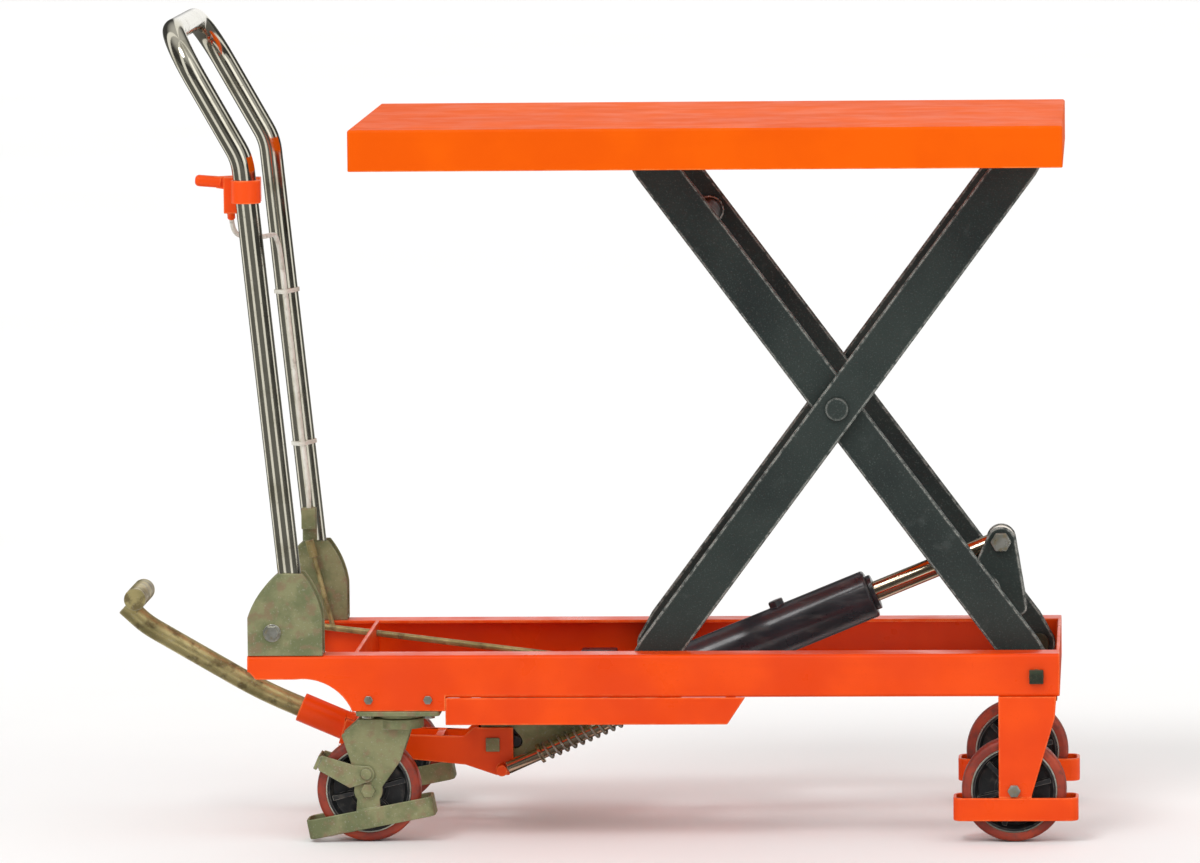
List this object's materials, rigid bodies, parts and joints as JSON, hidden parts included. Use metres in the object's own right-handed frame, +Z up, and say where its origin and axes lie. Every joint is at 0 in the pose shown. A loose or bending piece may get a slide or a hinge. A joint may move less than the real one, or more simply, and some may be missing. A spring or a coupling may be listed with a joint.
{
  "type": "scissor lift table",
  "caption": "Manual hydraulic scissor lift table: skirted platform on crossed arms over a wheeled channel frame, with foot pump pedal and push handle.",
  "frame": {"origin": "on the floor under the middle of the overall length and width", "axes": "+X from the push handle towards the scissor's fixed pivots and rear wheels, +Y to the left-hand side, +Z up"},
  "size_m": [1.1798, 0.5, 0.998],
  "materials": {
    "platform_paint": "semi-gloss orange powder coat",
    "frame_paint": "semi-gloss orange-red powder coat",
    "arm_paint": "fine-textured charcoal powder coat",
    "zinc_plate": "dull yellow-grey zinc plate",
    "bright_steel": "bright zinc-plated fasteners",
    "roller_steel": "turned steel, lightly oiled",
    "handle_chrome": "polished chrome plate",
    "rod_chrome": "ground hard chrome",
    "cylinder_paint": "gloss black enamel",
    "pedal_zinc": "yellow-passivated zinc plate",
    "wheel_tread": "cast red-brown polyurethane",
    "wheel_hub": "dark painted hub",
    "cable_sheath": "pale plastic sheath"
  },
  "bodies": {
    "chassis": {"base_rail_right": "frame_paint", "base_rail_left": "frame_paint", "crossmembers": "frame_paint", "pump_tray": "frame_paint", "rear_fork_right": "frame_paint", "rear_fork_left": "frame_paint", "rear_axle_bolts": "bright_steel", "frame_bolts": "bright_steel", "caster_plate_right": "zinc_plate", "caster_plate_left": "zinc_plate", "caster_bolts": "bright_steel", "pump_block": "zinc_plate", "release_valve": "cylinder_paint", "handle_bracket_right": "zinc_plate", "handle_bracket_left": "zinc_plate", "handle_tube": "handle_chrome", "release_bracket": "frame_paint", "release_cable": "cable_sheath", "cable_ties": "cable_sheath"},
    "inner_arms": {"inner_arm_right": "arm_paint", "inner_arm_left": "arm_paint", "inner_tie_tubes": "arm_paint", "lift_bracket": "arm_paint", "lift_pin": "bright_steel", "centre_pins": "arm_paint", "table_roller_pins": "bright_steel"},
    "outer_arms": {"outer_arm_right": "arm_paint", "outer_arm_left": "arm_paint", "outer_tie_tube": "arm_paint", "base_roller_pins": "bright_steel"},
    "platform": {"platform_pan": "platform_paint", "platform_underframe": "frame_paint", "platform_pivot_pins": "bright_steel"},
    "base_roller_right": {"base_roller_right": "roller_steel"},
    "base_roller_left": {"base_roller_left": "roller_steel"},
    "table_roller_right": {"table_roller_right": "roller_steel"},
    "table_roller_left": {"table_roller_left": "roller_steel"},
    "piston_rod": {"piston_rod": "rod_chrome"},
    "ram_cylinder": {"ram_cylinder": "cylinder_paint", "gland_nut": "cylinder_paint"},
    "pedal": {"pedal_lever": "frame_paint", "pedal_bar": "pedal_zinc"},
    "pump_plunger": {"pump_plunger": "rod_chrome", "plunger_spring": "bright_steel"},
    "release_lever": {"release_lever": "frame_paint"},
    "pull_rod": {"pull_rod": "pedal_zinc"},
    "release_crank": {"release_crank": "bright_steel"},
    "valve_rod": {"valve_rod": "pedal_zinc"},
    "caster_right": {"caster_fork_right": "zinc_plate"},
    "caster_wheel_right": {"caster_wheel_right_tread": "wheel_tread", "caster_wheel_right_hub": "wheel_hub"},
    "brake_right": {"brake_pedal_right": "zinc_plate"},
    "rear_wheel_right": {"rear_wheel_right_tread": "wheel_tread", "rear_wheel_right_hub": "wheel_hub"},
    "caster_left": {"caster_fork_left": "zinc_plate"},
    "caster_wheel_left": {"caster_wheel_left_tread": "wheel_tread", "caster_wheel_left_hub": "wheel_hub"},
    "brake_left": {"brake_pedal_left": "zinc_plate"},
    "rear_wheel_left": {"rear_wheel_left_tread": "wheel_tread", "rear_wheel_left_hub": "wheel_hub"}
  },
  "joints": [
    {"name": "lift", "type": "hinge", "parent": "chassis", "child": "inner_arms", "pos_m": [0.5399, 0, 0.2023], "axis": [0, 1, 0], "range_deg": [-45.27, 0]},
    {"name": "scissor_centre", "type": "hinge", "parent": "inner_arms", "child": "outer_arms", "pos_m": [0.3007, 0, 0.5229], "axis": [0, 1, 0], "range_deg": [0, 90.57]},
    {"name": "platform_pivot", "type": "hinge", "parent": "outer_arms", "child": "platform", "pos_m": [0.5399, 0, 0.8435], "axis": [0, 1, 0], "range_deg": [-45.28, 0]},
    {"name": "rod_eye", "type": "hinge", "parent": "inner_arms", "child": "piston_rod", "pos_m": [0.4959, 0, 0.346], "axis": [0, 1, 0], "range_deg": [0, 49.01]},
    {"name": "ram_stroke", "type": "slide", "parent": "piston_rod", "child": "ram_cylinder", "axis": [0.9259, 0, 0.3778], "range_m": [0, 0.10925]},
    {"name": "pedal_pivot", "type": "hinge", "parent": "chassis", "child": "pedal", "pos_m": [-0.1281, 0, 0.1], "axis": [0, 1, 0], "range_deg": [-25, 0], "stiffness_Nm_per_rad": 12, "springref_deg": 54.43},
    {"name": "plunger_stroke", "type": "slide", "parent": "chassis", "child": "pump_plunger", "axis": [0.9135, 0, 0.4067], "range_m": [0, 0.0138], "deforming": ["plunger_spring"]},
    {"name": "release_lever_pivot", "type": "hinge", "parent": "chassis", "child": "release_lever", "pos_m": [-0.4221, -0.1421, 0.8], "axis": [0, 1, 0], "range_deg": [0, 15]},
    {"name": "cable_pull", "type": "slide", "parent": "chassis", "child": "pull_rod", "axis": [-0.2524, 0, 0.9676], "range_m": [0, 0.0021], "stiffness_N_per_m": 2000, "springref_m": -0.003},
    {"name": "crank_pivot", "type": "hinge", "parent": "chassis", "child": "release_crank", "pos_m": [-0.35745, 0.13, 0.21195], "axis": [0, 1, 0], "range_deg": [-6.02, 0]},
    {"name": "valve_stroke", "type": "slide", "parent": "chassis", "child": "valve_rod", "axis": [-0.9923, 0, 0.124], "range_m": [0, 0.00168]},
    {"name": "base_roller_right_spin", "type": "hinge", "parent": "outer_arms", "child": "base_roller_right", "pos_m": [0.0615, -0.174, 0.2023], "axis": [0, 1, 0], "continuous": true},
    {"name": "table_roller_right_spin", "type": "hinge", "parent": "inner_arms", "child": "table_roller_right", "pos_m": [0.0615, -0.174, 0.8435], "axis": [0, 1, 0], "continuous": true},
    {"name": "caster_right_swivel", "type": "hinge", "parent": "chassis", "child": "caster_right", "pos_m": [-0.2321, -0.16, 0.14], "axis": [0, 0, 1], "continuous": true},
    {"name": "caster_wheel_right_spin", "type": "hinge", "parent": "caster_right", "child": "caster_wheel_right", "pos_m": [-0.2701, -0.16, 0.0635], "axis": [0, 1, 0], "continuous": true},
    {"name": "brake_right_pivot", "type": "hinge", "parent": "caster_right", "child": "brake_right", "pos_m": [-0.2721, -0.16, 0.084], "axis": [0, 1, 0], "range_deg": [-3, 0]},
    {"name": "rear_wheel_right_spin", "type": "hinge", "parent": "chassis", "child": "rear_wheel_right", "pos_m": [0.5124, -0.174, 0.0635], "axis": [0, 1, 0], "continuous": true},
    {"name": "base_roller_left_spin", "type": "hinge", "parent": "outer_arms", "child": "base_roller_left", "pos_m": [0.0615, 0.174, 0.2023], "axis": [0, 1, 0], "continuous": true},
    {"name": "table_roller_left_spin", "type": "hinge", "parent": "inner_arms", "child": "table_roller_left", "pos_m": [0.0615, 0.174, 0.8435], "axis": [0, 1, 0], "continuous": true},
    {"name": "caster_left_swivel", "type": "hinge", "parent": "chassis", "child": "caster_left", "pos_m": [-0.2321, 0.16, 0.14], "axis": [0, 0, 1], "continuous": true},
    {"name": "caster_wheel_left_spin", "type": "hinge", "parent": "caster_left", "child": "caster_wheel_left", "pos_m": [-0.2701, 0.16, 0.0635], "axis": [0, 1, 0], "continuous": true},
    {"name": "brake_left_pivot", "type": "hinge", "parent": "caster_left", "child": "brake_left", "pos_m": [-0.2721, 0.16, 0.084], "axis": [0, 1, 0], "range_deg": [-3, 0]},
    {"name": "rear_wheel_left_spin", "type": "hinge", "parent": "chassis", "child": "rear_wheel_left", "pos_m": [0.5124, 0.174, 0.0635], "axis": [0, 1, 0], "continuous": true}
  ],
  "couplings": [
    {"joint": "scissor_centre", "follows": "lift", "ratio": -2},
    {"joint": "platform_pivot", "follows": "lift", "ratio": 1},
    {"joint": "rod_eye", "follows": "lift", "ratio": -1.0822},
    {"joint": "ram_stroke", "follows": "lift", "m_per_rad": -0.13823},
    {"joint": "plunger_stroke", "follows": "pedal_pivot", "m_per_rad": -0.031627},
    {"joint": "release_lever_pivot", "follows": "cable_pull", "rad_per_m": 124.67},
    {"joint": "crank_pivot", "follows": "cable_pull", "rad_per_m": -50},
    {"joint": "valve_stroke", "follows": "cable_pull", "ratio": 0.8}
  ]
}
